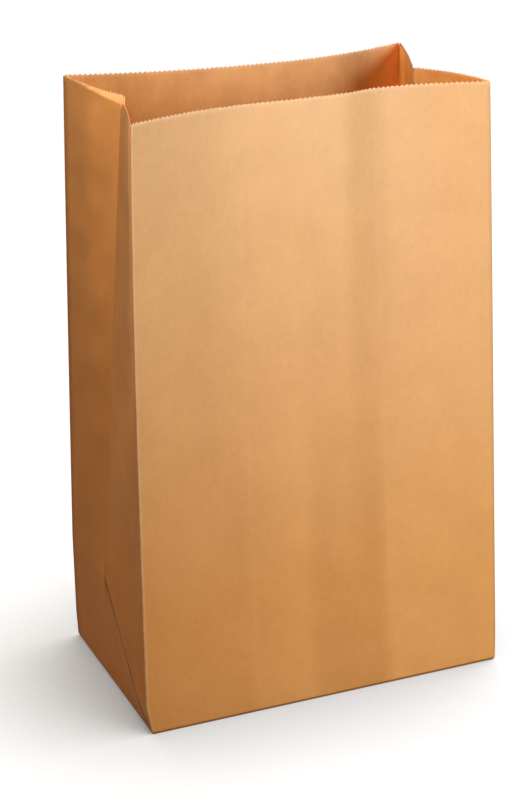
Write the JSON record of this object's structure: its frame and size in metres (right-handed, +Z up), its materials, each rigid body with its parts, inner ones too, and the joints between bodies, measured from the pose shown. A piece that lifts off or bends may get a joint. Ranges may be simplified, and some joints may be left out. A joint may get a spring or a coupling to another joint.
{
  "type": "paper lunch bag",
  "caption": "Open brown kraft paper lunch bag with a flat folded base, gusseted side panels and a pinked rim, standing.",
  "frame": {"origin": "centre of the base, on the surface that the bag stands on", "axes": "+Z up to the open rim, +X to the right along the long walls, +Y from the front wall to the back wall"},
  "size_m": [0.1551, 0.0942, 0.243],
  "materials": {
    "kraft_paper": "uncoated, matte, fine vertical fibre"
  },
  "bodies": {
    "root": {"paper_bag": "kraft_paper"}
  },
  "joints": []
}
